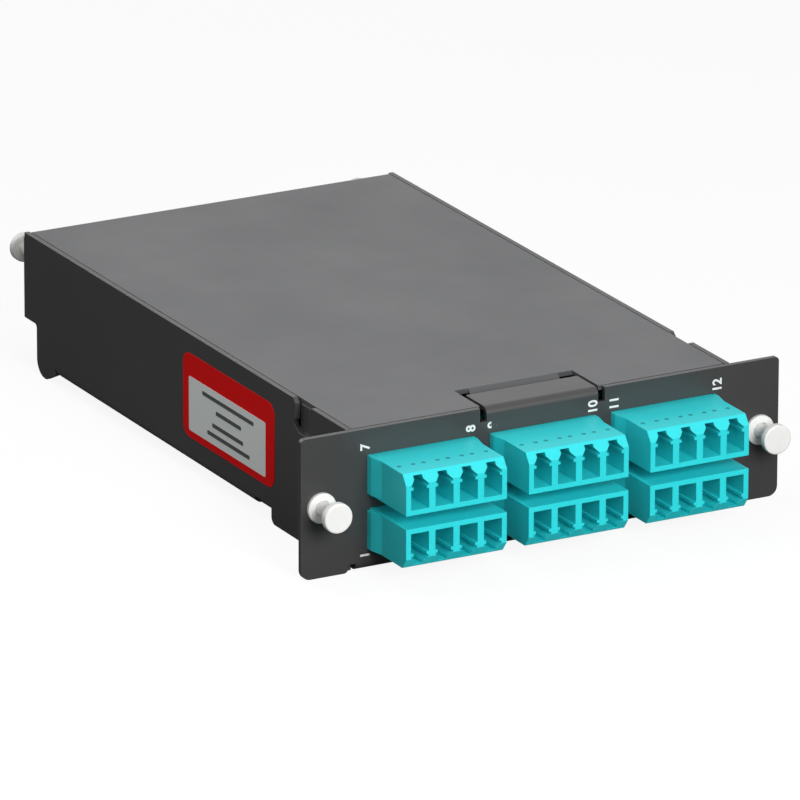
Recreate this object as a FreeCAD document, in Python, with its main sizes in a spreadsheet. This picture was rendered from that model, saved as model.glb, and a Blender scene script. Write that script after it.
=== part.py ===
import FreeCAD, Part
import math
import os

import Sketcher

# Fibre cassette: a folded sheet-metal tray with a lid, six four-port LC adapters in the front plate,
# two MPO adapters in the rear wall, push-pull nylon plungers and the fibre harnesses inside.
#
# Axes: X to the right along the front plate, Y towards the rear, Z up. The origin is midway between
# the two front plungers, on the rear face of the front plate, which is the face that meets a panel.

# Driving sizes in millimetres: alias, value, what it is.
SIZES = [
    ("ear_wide", 12.35, "ear of the front plate beyond the outside of a side wall"),
    ("plate_high", 33.8, "front plate, and the height of the cassette"),
    ("sheet", 1.2, "thickness of the folded sheet"),
    ("bend", 1.8, "outer radius of the folds"),
    ("box_wide", 99.9, "outside of the side walls"),
    ("box_deep", 164.6, "mounting face to the rear edge of the side walls"),
    ("sheet_gap", 0.3, "running gap between sheet edges"),
    ("floor_lift", 2.3, "underside of the floor above the feet"),
    ("lip_lift", 0.1, "underside of the floor's front lip above the feet"),
    ("lip_deep", 9.0, "mounting face to the joggle behind that lip"),
    ("joggle", 2.4, "length of the joggle up to the floor"),
    ("ear_round", 2.4, "rounding of the ears' lower corners"),
    ("ear_top_round", 1.0, "rounding of the ears' upper corners"),
    ("tab_wide", 29.0, "top tab folded back off the front plate"),
    ("tab_deep", 8.7, "mounting face to the end of the top tab"),
    ("relief_wide", 1.8, "relief slot beside the top tab"),
    ("relief_deep", 3.4, "depth of the relief slot"),
    ("foot_deep", 36.6, "length of the front foot of each wall"),
    ("foot_round", 1.8, "rounding of that foot's rear corner"),
    ("fold_start", 44.8, "where the side folds begin"),
    ("fold_end", 146.5, "where the side folds end"),
    ("wall_inset", 7.9, "lower rear edge of the walls ahead of the upper rear edge"),
    ("ledge_high", 12.4, "height of the step in the walls' rear edge"),
    ("ledge_round", 2.0, "rounding of that step"),
    ("hook_round", 4.1, "rear rounding of the hook foot"),
    ("hook_deep", 4.9, "length of the hook foot along the wall's underside"),
    ("hook_rise", 4.8, "slope at the front of the hook foot"),
    ("ear_reach", 10.1, "rear ear, in from the outside of the wall"),
    ("ear_drop", 1.5, "top of the rear ears below the walls' top edge"),
    ("slot_start", 18.2, "front edge of the slot in each wall"),
    ("slot_wide", 6.5, "slot in each wall"),
    ("slot_deep", 7.7, "depth of that slot from the wall's top edge"),
    ("slot_mouth", 1.3, "widening of the slot's mouth, each side"),
    ("slot_mouth_deep", 1.1, "depth of the widened mouth"),
    ("nick", 1.4, "corner relief at the slot's foot"),
    ("nick_under", 0.7, "undercut of that relief"),
    ("nick_rise", 2.8, "height of that relief"),
    ("tongue_lap", 3.0, "lap of the lid's rest below the slot"),
    ("notch_wide", 31.0, "notch in the lid round the top tab"),
    ("notch_deep", 12.8, "mounting face to the rear of the notch"),
    ("lid_tongue_wide", 23.4, "lid's joggled tongue under the top tab"),
    ("lid_tongue_tip", 3.0, "mounting face to the tip of the tongue"),
    ("lid_flange_high", 17.0, "lid's rear flange at its ends"),
    ("lid_flange_mid", 6.8, "lid's rear flange between its ends"),
    ("lid_flange_end", 13.6, "width of each end of the rear flange"),
    ("ear_hole", 5.1, "ear's outer edge to the middle of its plunger"),
    ("rear_hole", 4.6, "outside of a side wall to the middle of the rear plunger"),
    ("rear_rise", 9.7, "rear plungers above the front ones"),
    ("hole_bore", 6.5, "hole for a grommet's barrel"),
    ("barrel", 6.0, "diameter of a grommet's barrel"),
    ("neck", 6.4, "diameter of the barrel where it fills the hole"),
    ("neck_beyond", 0.3, "that neck beyond the sheet"),
    ("barrel_long", 5.7, "barrel behind the collar"),
    ("barrel_taper", 1.6, "tapered end of the barrel"),
    ("barrel_narrowing", 0.6, "narrowing of the barrel's end, each side"),
    ("slit_start", 3.1, "seat of the collar to the start of the slits"),
    ("collar", 7.2, "diameter of a grommet's collar"),
    ("collar_thick", 1.0, "thickness of the collar"),
    ("grommet_bore", 3.8, "bore of a grommet"),
    ("slit", 0.8, "slits between a grommet's legs"),
    ("shank", 3.6, "diameter of a pin's shank"),
    ("shank_depth", 2.0, "shank's tip inside the barrel when pulled out"),
    ("knob", 7.1, "diameter of a pin's head"),
    ("knob_thick", 2.0, "thickness of a pin's head"),
    ("knob_out", 8.7, "front of the head before the panel when pulled out"),
    ("knob_round", 0.4, "edge rounding of heads and collars"),
    ("adapter_wide", 25.9, "body of an LC adapter"),
    ("adapter_high", 9.6, "height of that body"),
    ("adapter_front", 17.0, "body ahead of the front plate"),
    ("adapter_rear", 13.0, "body behind the front plate"),
    ("block_side", 2.55, "room beside the three adapters of a row, each side"),
    ("row_pitch", 12.8, "adapters, upper to lower"),
    ("row_drop", 0.6, "middle of the two rows below the plungers"),
    ("cutout_gap", 0.1, "clearance round a body in its cut-out, each side"),
    ("rim_share", 0.14, "flange beyond the body, as a share of the gap between bodies"),
    ("rim_short", 0.4, "flange's end short of the side away from the latches"),
    ("rim_thick", 5.5, "thickness of the flange"),
    ("rim_straight", 1.8, "full width of the flange, from the plate to its taper"),
    ("brow_high", 2.35, "height of the sloped upper front"),
    ("brow_deep", 1.8, "set-back of the sloped upper front"),
    ("port_pitch", 6.25, "ports of one adapter"),
    ("port_wide", 4.6, "lower part of a port"),
    ("port_low", 1.2, "port above the underside of the body"),
    ("port_high", 4.75, "height of the lower part of a port"),
    ("pinch_wide", 3.4, "latch shoulders of a port"),
    ("pinch_high", 0.7, "height of the shoulders"),
    ("latch_wide", 4.4, "latch room above the shoulders"),
    ("latch_high", 0.5, "height of the latch room's upright sides"),
    ("eave_high", 1.05, "height of its sloped sides"),
    ("crown_wide", 2.3, "slot at the top of a port"),
    ("crown_high", 0.8, "height of that slot"),
    ("mount_thick", 4.0, "block of a sleeve mount, which parts a front port from its rear port"),
    ("mount_tube", 3.1, "diameter of a sleeve mount's tube"),
    ("mount_tube_long", 3.2, "tube beyond the block, each way"),
    ("sleeve", 1.9, "outside of an alignment sleeve"),
    ("sleeve_bore", 1.27, "bore of an alignment sleeve"),
    ("sleeve_long", 6.8, "length of an alignment sleeve"),
    ("sleeve_fit", 0.04, "radial clearance of sleeves and ferrules"),
    ("clip_thick", 0.35, "strip of an adapter's retaining clip"),
    ("clip_deep", 8.0, "length of the clip behind the plate"),
    ("clip_leg", 5.5, "legs of the clip down the adapter's sides"),
    ("clip_wing", 0.7, "reach of a clip's wing at the front plate"),
    ("clip_wing_high", 3.7, "height of a wing"),
    ("plug_size", 4.4, "body of an inner LC plug"),
    ("plug_in", 8.0, "plug inside its port"),
    ("plug_out", 9.0, "plug outside its port"),
    ("ferrule", 1.25, "ferrule of an inner LC plug"),
    ("ferrule_gap", 0.2, "between a ferrule's tip and the middle of the sleeve"),
    ("boot_front", 3.6, "boot where it leaves the plug"),
    ("boot_rear", 1.8, "boot at its end"),
    ("boot_long", 10.0, "length of the boot"),
    ("mpo_side", 33.0, "outside of a side wall to the middle of an MPO adapter"),
    ("mpo_rise", 10.9, "middle of the MPO adapters above the feet"),
    ("mpo_wide", 12.8, "body of an MPO adapter"),
    ("mpo_high", 9.3, "height of that body"),
    ("mpo_out", 15.0, "body behind the rear wall"),
    ("mpo_in", 12.0, "body ahead of the rear wall"),
    ("mpo_flange", 21.6, "flange of an MPO adapter"),
    ("mpo_flange_over", 0.6, "flange above and below the body"),
    ("mpo_flange_thick", 2.2, "thickness of that flange"),
    ("mpo_port_wide", 10.2, "port of an MPO adapter"),
    ("mpo_port_high", 6.9, "height of that port"),
    ("mpo_key_wide", 3.2, "keyway above the port"),
    ("mpo_key_high", 0.7, "height of the keyway"),
    ("mpo_plug_wide", 9.9, "housing of the inner MPO plug"),
    ("mpo_plug_high", 6.6, "height of that housing"),
    ("mpo_plug_long", 20.0, "length of that housing"),
    ("mpo_ferrule_wide", 6.4, "ferrule of the MPO plug"),
    ("mpo_ferrule_high", 2.5, "height of that ferrule"),
    ("mpo_ferrule_long", 3.0, "ferrule beyond the housing"),
    ("mpo_boot", 5.6, "boot where it leaves the MPO plug"),
    ("mpo_boot_long", 12.0, "length of that boot"),
    ("bundle", 2.4, "diameter of a fibre bundle"),
    ("coil_turn", 15.0, "turn of the slack coil, to the bundle's centre"),
    ("coil_back", 90.5, "mounting face to the middle of the slack drums"),
    ("drum_high", 19.0, "height of a slack drum"),
    ("drum_wall", 1.5, "wall of a slack drum"),
    ("drum_foot", 3.6, "foot flange of a drum beyond its wall"),
    ("drum_foot_thick", 1.2, "thickness of the foot flange"),
    ("drum_stud", 3.0, "snap stud under a drum"),
    ("stud_gap", 0.1, "clearance of the stud in the floor, each side"),
    ("breakout_deep", 9.0, "length of a harness's breakout block"),
    ("breakout_wide", 16.0, "width of the breakout block"),
    ("breakout_high", 4.0, "height of the breakout block"),
    ("breakout_back", 58.0, "mounting face to the front of the breakout blocks"),
    ("fibre", 0.9, "diameter of a buffered fibre"),
]

PORTS = 4
MEMBERS_PER_HARNESS = 12
BLOCKS = {"left": -1, "middle": 0, "right": 1}
ROWS = {"upper": 1, "lower": -1}
SIDES = {"left": -1, "right": 1}


# ---------------------------------------------------------------- document and sizes


def make_sheet(doc):
    """Write the driving sizes into the spreadsheet, one alias per row."""
    sheet = doc.addObject("Spreadsheet::Sheet", "Sizes")
    for row, (alias, value, meaning) in enumerate(SIZES, start=1):
        sheet.set(f"A{row}", meaning)
        sheet.set(f"B{row}", str(value))
        sheet.setAlias(f"B{row}", alias)
    doc.recompute()
    return sheet


def expr(text):
    """An expression in which each bare alias is read from the spreadsheet."""
    aliases = {alias for alias, _, _ in SIZES}
    words = text.replace("(", " ( ").replace(")", " ) ").split()
    return " ".join(f"Sizes.{word}" if word in aliases else word for word in words)


def number(text):
    """The value that an expression has with the present sizes."""
    value = FreeCAD.ActiveDocument.Sizes.evalExpression(expr(text))
    return float(getattr(value, "Value", value))


# Heights and depths that several pieces share.
TOP = "( plate_high / 2 )"
FEET = "( 0 - plate_high / 2 )"
FLOOR_UNDER = "( floor_lift - plate_high / 2 )"
FLOOR_TOP = "( floor_lift + sheet - plate_high / 2 )"
FOLD_TOP = "( floor_lift + bend - plate_high / 2 )"
LIP_UNDER = "( lip_lift - plate_high / 2 )"
LIP_TOP = "( lip_lift + sheet - plate_high / 2 )"
LIP_FOLD = "( lip_lift + bend - plate_high / 2 )"
WALL_OUT = "( box_wide / 2 )"
WALL_IN = "( box_wide / 2 - sheet )"
REAR_WALL = "( box_deep - wall_inset )"
LEDGE = "( ledge_high - plate_high / 2 )"
LID_UNDER = "( plate_high / 2 - sheet )"
ADAPTER_FRONT = "( 0 - sheet - adapter_front )"
ADAPTER_MIDDLE = "( ( adapter_rear - sheet - adapter_front ) / 2 )"
MOUNT_FRONT = f"( {ADAPTER_MIDDLE} - mount_thick / 2 )"
MOUNT_REAR = f"( {ADAPTER_MIDDLE} + mount_thick / 2 )"
FERRULE_HEIGHT = "( port_low + port_high / 2 - adapter_high / 2 )"
MPO_HEIGHT = "( mpo_rise - plate_high / 2 )"

# Places along X that follow the width of the box.
PLATE_HALF = "( box_wide / 2 + ear_wide )"
PLUNGER_PLACE = "( box_wide / 2 + ear_wide - ear_hole )"
REAR_PLUNGER_PLACE = "( box_wide / 2 - rear_hole )"
BLOCK_PITCH = "( ( box_wide - 2 * block_side ) / 3 )"
RIM_SIDE = f"( rim_share * ( {BLOCK_PITCH} - adapter_wide ) )"
MPO_PLACE = "( box_wide / 2 - mpo_side )"
DRUM_PLACE = "( box_wide / 2 - mpo_side + coil_turn )"

# How far a cut runs past the faces that it opens.
OVER = 1


# ---------------------------------------------------------------- sketch and feature helpers


def origin_plane(body, role):
    """One of a body's own base planes."""
    return next(item for item in body.Origin.OriginFeatures if item.Role == role)


def line(u, v):
    """A straight side of an outline that ends at (u, v)."""
    return ("line", u, v, None)


def arc(u, v, radius, turn="ccw"):
    """A rounded side of an outline that ends at (u, v)."""
    return (turn, u, v, radius)


def box(low_u, low_v, high_u, high_v):
    """A rectangle's outline."""
    return [line(low_u, low_v), line(high_u, low_v), line(high_u, high_v), line(low_u, high_v)]


def circle(u, v, diameter):
    """A full circle's outline."""
    return [("circle", u, v, f"( {diameter} ) / 2")]


def arc_geometry(start, end, radius, turn):
    """The arc from start to end of the given radius that turns less than half way round."""
    chord = end - start
    half = chord.Length / 2
    rise = math.sqrt(max(radius**2 - half**2, 0.0))
    side = FreeCAD.Vector(-chord.y, chord.x, 0).normalize()
    centre = start + chord * 0.5 + side * (rise if turn == "ccw" else -rise)
    first, last = (start, end) if turn == "ccw" else (end, start)
    angles = [math.atan2(p.y - centre.y, p.x - centre.x) for p in (first, last)]
    return Part.ArcOfCircle(Part.Circle(centre, FreeCAD.Vector(0, 0, 1), radius), *angles)


def bind(sketch, constraint, text):
    """Add a constraint and bind its value to an expression."""
    index = sketch.addConstraint(constraint)
    sketch.setExpression(f"Constraints[{index}]", expr(text))


def draw_loop(sketch, loop):
    """Draw one closed outline, with every corner and radius bound to the spreadsheet."""
    if loop[0][0] == "circle":
        _, u, v, radius = loop[0]
        centre = FreeCAD.Vector(number(u), number(v), 0)
        index = sketch.addGeometry(Part.Circle(centre, FreeCAD.Vector(0, 0, 1), number(radius)), False)
        bind(sketch, Sketcher.Constraint("DistanceX", index, 3, centre.x), u)
        bind(sketch, Sketcher.Constraint("DistanceY", index, 3, centre.y), v)
        bind(sketch, Sketcher.Constraint("Radius", index, number(radius)), radius)
        return
    points = [FreeCAD.Vector(number(u), number(v), 0) for _, u, v, _ in loop]
    ends = []
    for index, (kind, _, _, radius) in enumerate(loop):
        start, end = points[index - 1], points[index]
        if kind == "line":
            geometry = Part.LineSegment(start, end)
        else:
            geometry = arc_geometry(start, end, number(radius), kind)
        first, last = (2, 1) if kind == "cw" else (1, 2)
        ends.append((sketch.addGeometry(geometry, False), first, last))
    for index, (kind, u, v, radius) in enumerate(loop):
        geometry, _, last = ends[index]
        following, first, _ = ends[(index + 1) % len(loop)]
        sketch.addConstraint(Sketcher.Constraint("Coincident", geometry, last, following, first))
        bind(sketch, Sketcher.Constraint("DistanceX", geometry, last, points[index].x), u)
        bind(sketch, Sketcher.Constraint("DistanceY", geometry, last, points[index].y), v)
        if radius is not None:
            bind(sketch, Sketcher.Constraint("Radius", geometry, number(radius)), radius)


def sketch_on(body, name, role, loops, level="0"):
    """A sketch of closed outlines on one of the body's own origin planes, or parallel to it at a level."""
    sketch = body.newObject("Sketcher::SketchObject", f"{name}_sketch")
    sketch.AttachmentSupport = [(origin_plane(body, role), "")]
    sketch.MapMode = "FlatFace"
    # The XZ plane faces -Y, so a level along +Y is a negative offset there.
    sign = "0 - " if role == "XZ_Plane" else ""
    sketch.setExpression(".AttachmentOffset.Base.z", expr(f"{sign}( {level} )"))
    for loop in loops:
        draw_loop(sketch, loop)
    return sketch


def pad(body, name, role, loops, low, high):
    """Material between two levels, along the axis that the plane's outlines are square to."""
    feature = body.newObject("PartDesign::Pad", name)
    feature.Profile = sketch_on(body, name, role, loops, low)
    feature.setExpression("Length", expr(f"( {high} ) - ( {low} )"))
    feature.Reversed = role == "XZ_Plane"
    return feature


def pocket(body, name, role, loops, low, high):
    """A cut between two levels; it has to take material away."""
    doc = body.Document
    doc.recompute()
    before = body.Shape.Volume
    feature = body.newObject("PartDesign::Pocket", name)
    feature.Profile = sketch_on(body, name, role, loops, low)
    feature.setExpression("Length", expr(f"( {high} ) - ( {low} )"))
    feature.Reversed = role != "XZ_Plane"
    doc.recompute()
    if body.Shape.Volume >= before:
        raise RuntimeError(f"{body.Label}: {name} cuts nothing")
    return feature


def revolve(body, name, loop):
    """A solid turned about the body's Y axis from a half section on its XY plane."""
    feature = body.newObject("PartDesign::Revolution", name)
    feature.Profile = sketch_on(body, name, "XY_Plane", [loop])
    axis = next(item for item in body.Origin.OriginFeatures if item.Role == "Y_Axis")
    feature.ReferenceAxis = (axis, [""])
    feature.Angle = 360
    return feature


def edges_where(body, test):
    """Names of the body's edges that pass a test of their two end points."""
    body.Document.recompute()
    names = []
    for index, edge in enumerate(body.Shape.Edges, start=1):
        ends = [vertex.Point for vertex in edge.Vertexes]
        if len(ends) == 2 and test(ends[0], ends[1]):
            names.append(f"Edge{index}")
    if not names:
        raise RuntimeError(f"{body.Label}: no edge fits")
    return names


def near(first, second):
    return abs(first - second) < 1e-4


def fillet(body, name, radius, test):
    """Round the edges that pass the test."""
    names = edges_where(body, test)
    base = body.Tip
    feature = body.newObject("PartDesign::Fillet", name)
    feature.Base = (base, names)
    feature.setExpression("Radius", expr(radius))
    return feature


def new_body(doc, label):
    body = doc.addObject("PartDesign::Body", label)
    body.Label = label
    return body


def place(body, x="0", y="0", z="0", axis=None, angle=0):
    """Put a body where expressions say, turned about one axis through its own origin."""
    if axis is not None:
        body.Placement.Rotation = FreeCAD.Rotation(axis, angle)
    for letter, text in zip("xyz", (x, y, z)):
        body.setExpression(f".Placement.Base.{letter}", expr(text))


def row_height(row):
    """Height of the middle of a row of adapters."""
    return f"( 0 - row_drop + {ROWS[row]} * row_pitch / 2 )"


def block_place(block):
    """Place along X of an adapter's middle."""
    return f"( {BLOCKS[block]} * {BLOCK_PITCH} )"


# ---------------------------------------------------------------- tray


def plate_outline():
    """Front plate in the XZ plane: ears down to the feet, a fold between them, slots beside the tab."""
    slot_out = "( tab_wide / 2 + relief_wide )"
    notch_in = "( box_wide / 2 + sheet_gap / 2 )"
    return [
        line(f"0 - {notch_in} - ear_round / 2", FEET),
        arc(f"0 - {notch_in}", f"{FEET} + ear_round / 2", "ear_round / 2"),
        line(f"0 - {notch_in}", LIP_FOLD),
        line(notch_in, LIP_FOLD),
        line(notch_in, f"{FEET} + ear_round / 2"),
        arc(f"{notch_in} + ear_round / 2", FEET, "ear_round / 2"),
        line(f"{PLATE_HALF} - ear_round", FEET),
        arc(PLATE_HALF, f"{FEET} + ear_round", "ear_round"),
        line(PLATE_HALF, f"{TOP} - ear_top_round"),
        arc(f"{PLATE_HALF} - ear_top_round", TOP, "ear_top_round"),
        line(slot_out, TOP),
        line(slot_out, f"{TOP} - relief_deep"),
        line("tab_wide / 2", f"{TOP} - relief_deep"),
        line("tab_wide / 2", f"{TOP} - bend"),
        line("0 - tab_wide / 2", f"{TOP} - bend"),
        line("0 - tab_wide / 2", f"{TOP} - relief_deep"),
        line(f"0 - {slot_out}", f"{TOP} - relief_deep"),
        line(f"0 - {slot_out}", TOP),
        line(f"0 - {PLATE_HALF} + ear_top_round", TOP),
        arc(f"0 - {PLATE_HALF}", f"{TOP} - ear_top_round", "ear_top_round"),
        line(f"0 - {PLATE_HALF}", f"{FEET} + ear_round"),
        arc(f"0 - {PLATE_HALF} + ear_round", FEET, "ear_round"),
    ]


def plate_cutouts():
    """Cut-outs for the six adapters and the two front grommets."""
    loops = []
    for row in ROWS:
        for block in BLOCKS:
            half_wide = "( adapter_wide / 2 + cutout_gap )"
            half_high = "( adapter_high / 2 + cutout_gap )"
            middle, height = block_place(block), row_height(row)
            loops.append(
                box(
                    f"{middle} - {half_wide}",
                    f"{height} - {half_high}",
                    f"{middle} + {half_wide}",
                    f"{height} + {half_high}",
                )
            )
    for sign in SIDES.values():
        loops.append(circle(f"{sign} * {PLUNGER_PLACE}", "0", "hole_bore"))
    return loops


def spine_section():
    """Front fold, lip, joggle, floor, rear fold and rear wall in the YZ plane, one sheet thick."""
    return [
        line("0 - sheet", LIP_FOLD),
        arc("bend - sheet", LIP_UNDER, "bend"),
        line("lip_deep", LIP_UNDER),
        line("lip_deep + joggle", FLOOR_UNDER),
        line(f"{REAR_WALL} - bend", FLOOR_UNDER),
        arc(REAR_WALL, FOLD_TOP, "bend"),
        line(REAR_WALL, LID_UNDER),
        line(f"{REAR_WALL} - sheet", LID_UNDER),
        line(f"{REAR_WALL} - sheet", FOLD_TOP),
        arc(f"{REAR_WALL} - bend", FLOOR_TOP, "bend - sheet", "cw"),
        line("lip_deep + joggle - sheet / 2", FLOOR_TOP),
        line("lip_deep - sheet / 2", LIP_TOP),
        line("bend - sheet", LIP_TOP),
        arc("0", LIP_FOLD, "bend - sheet", "cw"),
    ]


def tab_section():
    """Top fold and tab in the YZ plane."""
    return [
        line("0", f"{TOP} - bend"),
        arc("bend - sheet", f"{TOP} - sheet", "bend - sheet", "cw"),
        line("tab_deep", f"{TOP} - sheet"),
        line("tab_deep", TOP),
        line("bend - sheet", TOP),
        arc("0 - sheet", f"{TOP} - bend", "bend"),
    ]


def wall_outline():
    """A side wall in the YZ plane: front foot, straight underside, hook foot, stepped rear edge."""
    upper_end = "( box_deep - bend )"
    hook_toe = f"( {REAR_WALL} - hook_round )"
    hook_heel = f"( {REAR_WALL} - hook_deep )"
    return [
        line("sheet_gap", FEET),
        line("foot_deep - foot_round", FEET),
        arc("foot_deep", f"{FEET} + foot_round", "foot_round"),
        line("foot_deep", FOLD_TOP),
        line(f"{hook_heel} - hook_rise", FOLD_TOP),
        line(f"{hook_heel} - hook_rise", FLOOR_UNDER),
        line(hook_heel, FEET),
        line(hook_toe, FEET),
        arc(REAR_WALL, f"{FEET} + hook_round", "hook_round"),
        line(REAR_WALL, LEDGE),
        line(upper_end, LEDGE),
        line(upper_end, TOP),
        line("sheet_gap", TOP),
    ]


def side_fold(sign):
    """Fold between the floor and a side wall, a quarter ring in the XZ plane."""
    inner = f"( {WALL_OUT} - bend )"
    turn, back = ("ccw", "cw") if sign > 0 else ("cw", "ccw")
    return [
        line(f"{sign} * {inner}", FLOOR_UNDER),
        arc(f"{sign} * {WALL_OUT}", FOLD_TOP, "bend", turn),
        line(f"{sign} * {WALL_IN}", FOLD_TOP),
        arc(f"{sign} * {inner}", FLOOR_TOP, "bend - sheet", back),
    ]


def rear_ear_section(sign):
    """Fold and ear at the rear of a side wall, in the XY plane."""
    turn, back = ("ccw", "cw") if sign > 0 else ("cw", "ccw")
    inner = f"{sign} * ( {WALL_OUT} - ear_reach )"
    return [
        line(f"{sign} * {WALL_OUT}", "box_deep - bend"),
        arc(f"{sign} * ( {WALL_OUT} - bend )", "box_deep", "bend", turn),
        line(inner, "box_deep"),
        line(inner, "box_deep - sheet"),
        line(f"{sign} * ( {WALL_OUT} - bend )", "box_deep - sheet"),
        arc(f"{sign} * {WALL_IN}", "box_deep - bend", "bend - sheet", back),
    ]


def slot_outline():
    """Open slot in a side wall's top edge, wider at its mouth, with a corner relief at its foot."""
    end = "( slot_start + slot_wide )"
    foot = f"( {TOP} - slot_deep )"
    mouth = f"( {TOP} - slot_mouth_deep )"
    return [
        line("slot_start", foot),
        line(f"{end} - nick", foot),
        line(f"{end} + nick_under", f"{foot} + nick"),
        line(f"{end} + nick_under", f"{foot} + nick_rise - nick_under"),
        line(end, f"{foot} + nick_rise"),
        line(end, mouth),
        line(f"{end} + slot_mouth", TOP),
        line("slot_start - slot_mouth", TOP),
        line("slot_start", mouth),
    ]


def make_tray(doc):
    """The folded tray, one piece of sheet."""
    body = new_body(doc, "cassette_tray")
    pad(body, "plate", "XZ_Plane", [plate_outline()], "0 - sheet", "0")
    floor_half = f"( {WALL_OUT} - bend )"
    pad(body, "spine", "YZ_Plane", [spine_section()], f"0 - {floor_half}", floor_half)
    pad(body, "tab", "YZ_Plane", [tab_section()], "0 - tab_wide / 2", "tab_wide / 2")
    for side, sign in SIDES.items():
        low, high = (WALL_IN, WALL_OUT) if sign > 0 else (f"0 - {WALL_OUT}", f"0 - {WALL_IN}")
        pad(body, f"wall_{side}", "YZ_Plane", [wall_outline()], low, high)
        pad(body, f"fold_{side}", "XZ_Plane", [side_fold(sign)], "fold_start", "fold_end")
        ear_top = f"( {TOP} - ear_drop )"
        pad(body, f"rear_ear_{side}", "XY_Plane", [rear_ear_section(sign)], LEDGE, ear_top)
        pocket(body, f"slot_{side}", "YZ_Plane", [slot_outline()], f"{low} - {OVER}", f"{high} + {OVER}")
        rest_low, rest_high = f"{WALL_IN} - sheet", WALL_IN
        if sign < 0:
            rest_low, rest_high = f"0 - {WALL_IN}", f"0 - {WALL_IN} + sheet"
        rest = box(
            "slot_start + sheet_gap",
            f"{TOP} - slot_deep - tongue_lap",
            "slot_start + slot_wide - sheet_gap",
            LID_UNDER,
        )
        pad(body, f"lid_rest_{side}", "YZ_Plane", [rest], rest_low, rest_high)
    pocket(body, "cutouts", "XZ_Plane", plate_cutouts(), f"0 - sheet - {OVER}", f"{OVER}")
    before, behind = f"box_deep - sheet - {OVER}", f"box_deep + {OVER}"
    pocket(body, "rear_holes", "XZ_Plane", rear_holes(), before, behind)
    before, behind = f"{REAR_WALL} - sheet - {OVER}", f"{REAR_WALL} + {OVER}"
    pocket(body, "mpo_cutouts", "XZ_Plane", mpo_cutouts(), before, behind)
    stud_hole = "drum_stud + 2 * stud_gap"
    studs = [circle(f"{sign} * {DRUM_PLACE}", "coil_back", stud_hole) for sign in SIDES.values()]
    pocket(body, "stud_holes", "XY_Plane", studs, f"{FLOOR_UNDER} - {OVER}", f"{FLOOR_TOP} + {OVER}")
    round_tray(body)
    return body


def rear_holes():
    """Holes for the rear grommets, through the rear ears and the lid's flange."""
    return [circle(f"{sign} * {REAR_PLUNGER_PLACE}", "rear_rise", "hole_bore") for sign in SIDES.values()]


def mpo_cutouts():
    """Cut-outs for the MPO adapters in the rear wall."""
    half_wide = "( mpo_wide / 2 + cutout_gap )"
    half_high = "( mpo_high / 2 + cutout_gap )"
    return [
        box(
            f"{sign} * {MPO_PLACE} - {half_wide}",
            f"{MPO_HEIGHT} - {half_high}",
            f"{sign} * {MPO_PLACE} + {half_wide}",
            f"{MPO_HEIGHT} + {half_high}",
        )
        for sign in SIDES.values()
    ]


def round_tray(body):
    """Round the step in the walls' rear edge and the free corners of the rear ears."""
    rear, ledge = number("box_deep"), number(LEDGE)
    ear = number(f"{WALL_OUT} - ear_reach")

    def ear_corner(a, b):
        along_y = near(a.x, b.x) and near(a.z, b.z) and not near(a.y, b.y)
        return along_y and near(abs(a.x), ear) and max(a.y, b.y) > rear - 0.01

    def ledge_corner(a, b):
        along_x = near(a.y, b.y) and near(a.z, b.z) and near(abs(a.x - b.x), number("sheet"))
        return along_x and near(a.y, number(REAR_WALL)) and near(a.z, ledge)

    fillet(body, "ear_corners", "ledge_round", ear_corner)
    fillet(body, "ledge_corners", "ledge_round / 2", ledge_corner)


# ---------------------------------------------------------------- lid


def lid_section():
    """Lid and its rear flange in the YZ plane."""
    rear = "( box_deep - sheet )"
    return [
        line("notch_deep", LID_UNDER),
        line(f"{rear} - bend", LID_UNDER),
        arc(f"{rear} - sheet", f"{TOP} - bend", "bend - sheet", "cw"),
        line(f"{rear} - sheet", f"{TOP} - lid_flange_high"),
        line(rear, f"{TOP} - lid_flange_high"),
        line(rear, f"{TOP} - bend"),
        arc(f"{rear} - bend", TOP, "bend"),
        line("notch_deep", TOP),
    ]


def lid_tongue_section():
    """Joggled tongue that reaches under the tray's top tab, in the YZ plane."""
    step = "( sheet + sheet_gap / 2 )"
    return [
        line("notch_deep", TOP),
        line("notch_deep - sheet", f"{TOP} - {step}"),
        line("lid_tongue_tip", f"{TOP} - {step}"),
        line("lid_tongue_tip", f"{TOP} - {step} - sheet"),
        line("notch_deep - sheet / 2", f"{TOP} - {step} - sheet"),
        line("notch_deep + sheet", LID_UNDER),
        line("notch_deep + sheet", TOP),
    ]


def make_lid(doc):
    """The lid: a flat sheet between the walls, notched at the tab, with a flange folded down behind."""
    body = new_body(doc, "lid")
    half = f"( {WALL_IN} - sheet_gap )"
    pad(body, "sheet_and_flange", "YZ_Plane", [lid_section()], f"0 - {half}", half)
    for side, sign in SIDES.items():
        inner, outer = "notch_wide / 2", half
        low, high = (inner, outer) if sign > 0 else (f"0 - {outer}", f"0 - {inner}")
        horn = box(low, "2 * sheet_gap", high, f"notch_deep + {OVER}")
        pad(body, f"horn_{side}", "XY_Plane", [horn], LID_UNDER, TOP)
    pad(
        body,
        "tongue",
        "YZ_Plane",
        [lid_tongue_section()],
        "0 - lid_tongue_wide / 2",
        "lid_tongue_wide / 2",
    )
    below = f"{TOP} - lid_flange_high - {OVER}"
    middle = box(
        f"0 - {half} + lid_flange_end",
        below,
        f"{half} - lid_flange_end",
        f"{TOP} - lid_flange_mid",
    )
    ends = [
        box(f"0 - {half} - {OVER}", below, f"0 - {WALL_OUT} + bend", f"{TOP} - sheet"),
        box(f"{WALL_OUT} - bend", below, f"{half} + {OVER}", f"{TOP} - sheet"),
    ]
    before = f"box_deep - 2 * sheet - {OVER}"
    pocket(body, "flange_cuts", "XZ_Plane", [middle] + ends, before, "box_deep")
    pocket(body, "flange_holes", "XZ_Plane", rear_holes(), before, "box_deep")
    return body


# ---------------------------------------------------------------- plungers


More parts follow.
